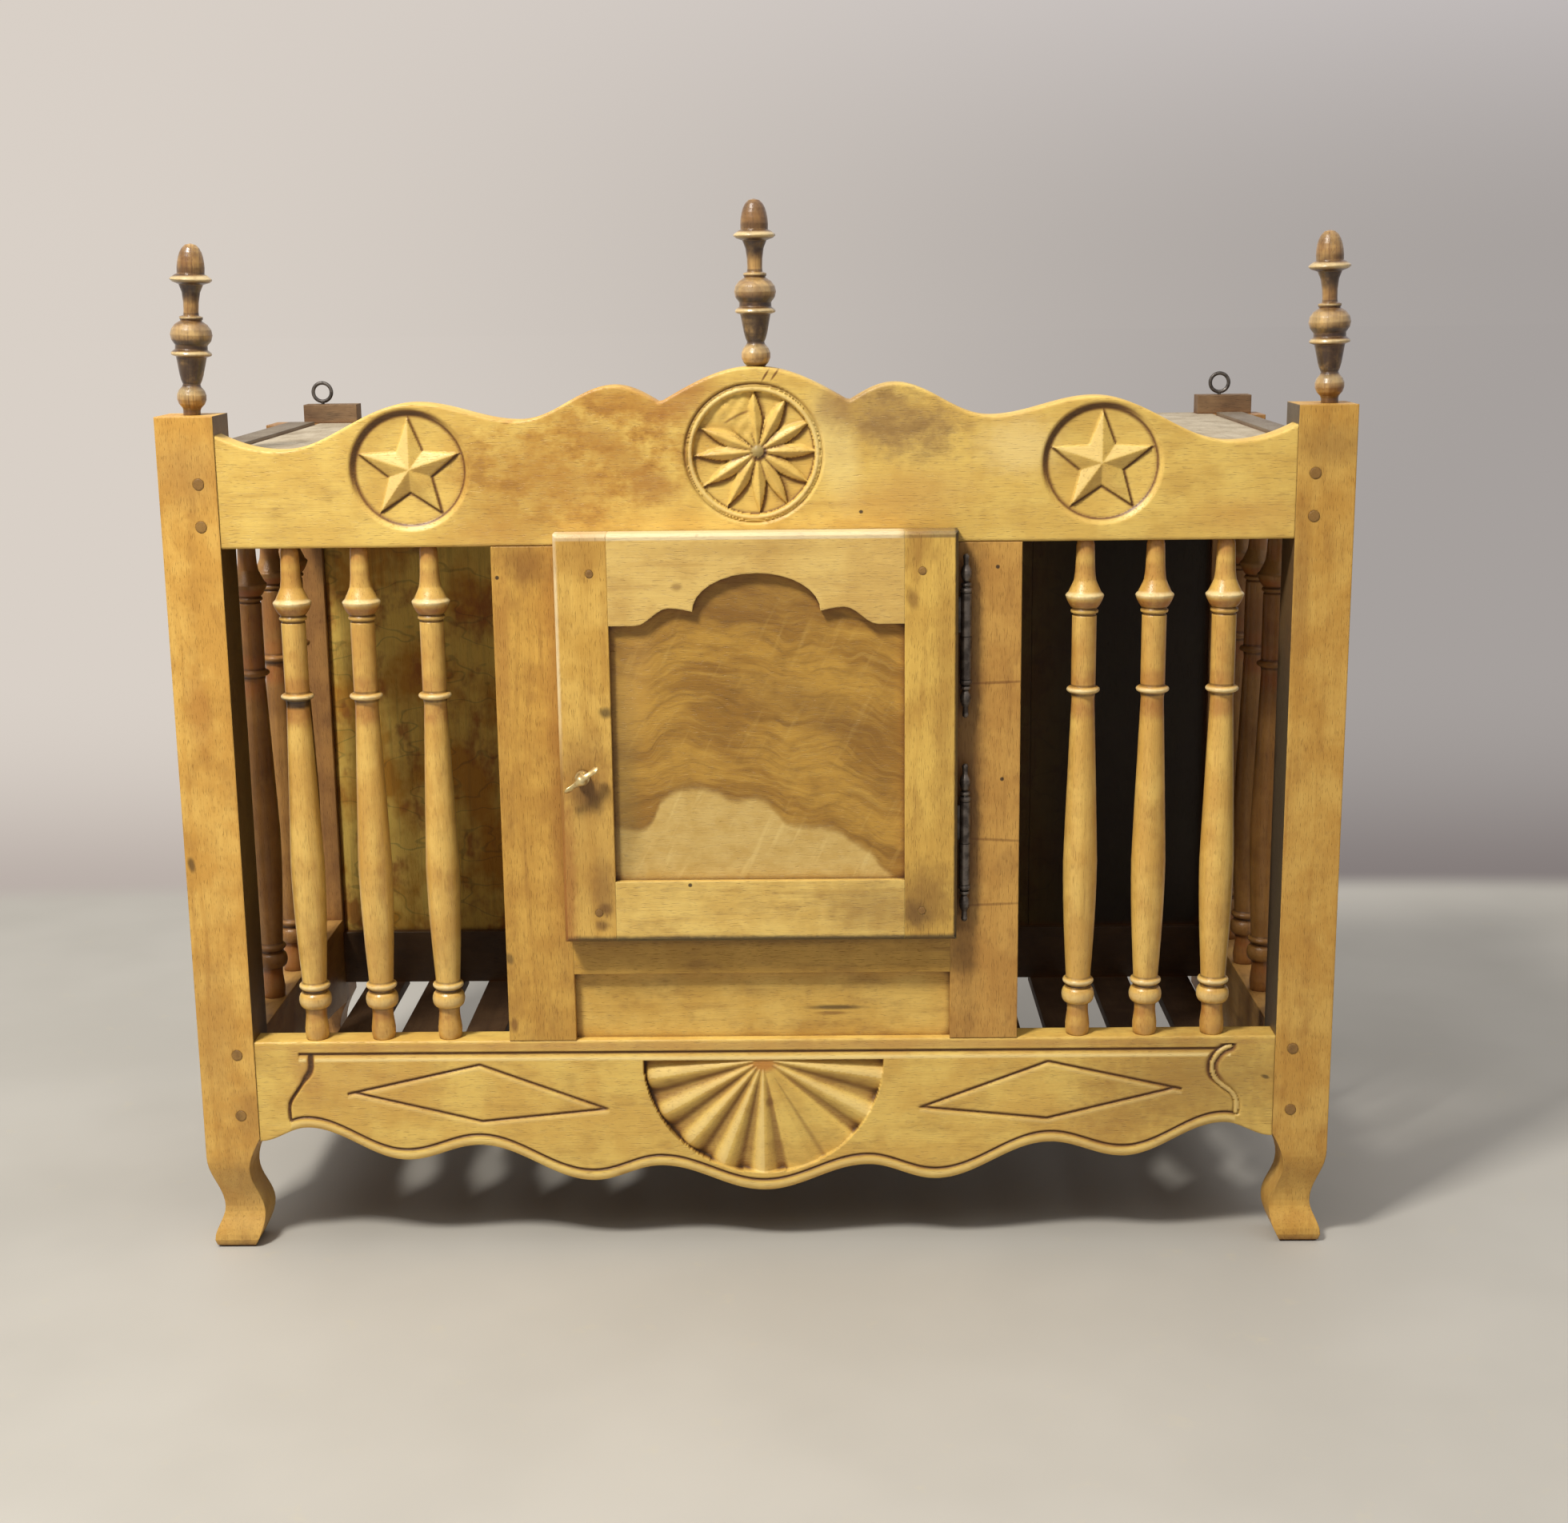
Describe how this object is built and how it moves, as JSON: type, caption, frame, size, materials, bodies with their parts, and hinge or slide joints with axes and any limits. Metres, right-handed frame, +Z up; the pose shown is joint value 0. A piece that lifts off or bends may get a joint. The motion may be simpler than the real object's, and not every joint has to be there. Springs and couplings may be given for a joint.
{
  "type": "bread cabinet",
  "caption": "Bread cabinet with turned spindles, scalloped carved crest and apron, turned finials and a hinged framed door with an arched panel.",
  "frame": {"origin": "on the floor, centred left to right and front to back", "axes": "+X to the viewer's right along the front, +Y from the front to the back, +Z up"},
  "size_m": [0.95, 0.4462, 0.87],
  "materials": {
    "honey_wood": "waxed, satin",
    "amber_wood": "waxed, satin",
    "brown_wood": "bare, matt",
    "dark_board": "bare, matt",
    "finial_wood": "waxed, satin",
    "iron": "dull, worn",
    "brass": "aged"
  },
  "bodies": {
    "case": {"front_post_left": "honey_wood", "front_post_right": "honey_wood", "crest_rail": "honey_wood", "apron_rail": "honey_wood", "lower_panel": "honey_wood", "front_spindle_1": "honey_wood", "front_spindle_2": "honey_wood", "front_spindle_3": "honey_wood", "front_spindle_4": "honey_wood", "front_spindle_5": "honey_wood", "front_spindle_6": "honey_wood", "left_spindle_1": "honey_wood", "left_spindle_2": "honey_wood", "left_spindle_3": "honey_wood", "right_spindle_1": "honey_wood", "right_spindle_2": "honey_wood", "right_spindle_3": "honey_wood", "rear_post_left": "amber_wood", "rear_post_right": "amber_wood", "sill_rail": "amber_wood", "muntin_left": "amber_wood", "muntin_right": "amber_wood", "side_top_rail_left": "amber_wood", "side_top_rail_right": "amber_wood", "side_bottom_rail_left": "amber_wood", "side_bottom_rail_right": "amber_wood", "floor_bearer": "brown_wood", "roof_board_4": "brown_wood", "floor_slats": "brown_wood", "roof_ledger": "brown_wood", "rear_top_rail": "brown_wood", "rear_bottom_rail": "brown_wood", "hanging_block_left": "brown_wood", "hanging_block_right": "brown_wood", "frame_pegs": "brown_wood", "roof_board_1": "brown_wood", "roof_board_2": "brown_wood", "roof_board_3": "brown_wood", "back_board_1": "dark_board", "back_board_2": "dark_board", "back_board_3": "dark_board", "back_board_4": "dark_board", "back_board_5": "dark_board", "finial_left": "finial_wood", "finial_centre": "finial_wood", "finial_right": "finial_wood", "screw_eye_left": "iron", "screw_eye_right": "iron", "upper_hinge_pin_half": "iron", "lower_hinge_pin_half": "iron"},
    "door": {"door_lock_stile": "honey_wood", "door_hinge_stile": "honey_wood", "door_top_rail": "honey_wood", "door_bottom_rail": "amber_wood", "door_panel": "honey_wood", "door_pegs": "brown_wood", "upper_hinge_door_half": "iron", "lower_hinge_door_half": "iron"},
    "latch": {"turn_handle": "brass", "latch_tongue": "iron"}
  },
  "joints": [
    {"name": "door_hinge", "type": "hinge", "parent": "case", "child": "door", "pos_m": [0.1675, -0.1929, 0.42], "axis": [0, 0, 1], "range_deg": [0, 135]},
    {"name": "latch_turn", "type": "hinge", "parent": "door", "child": "latch", "pos_m": [-0.142, -0.1969, 0.417], "axis": [0, 1, 0], "range_deg": [0, 90]}
  ]
}
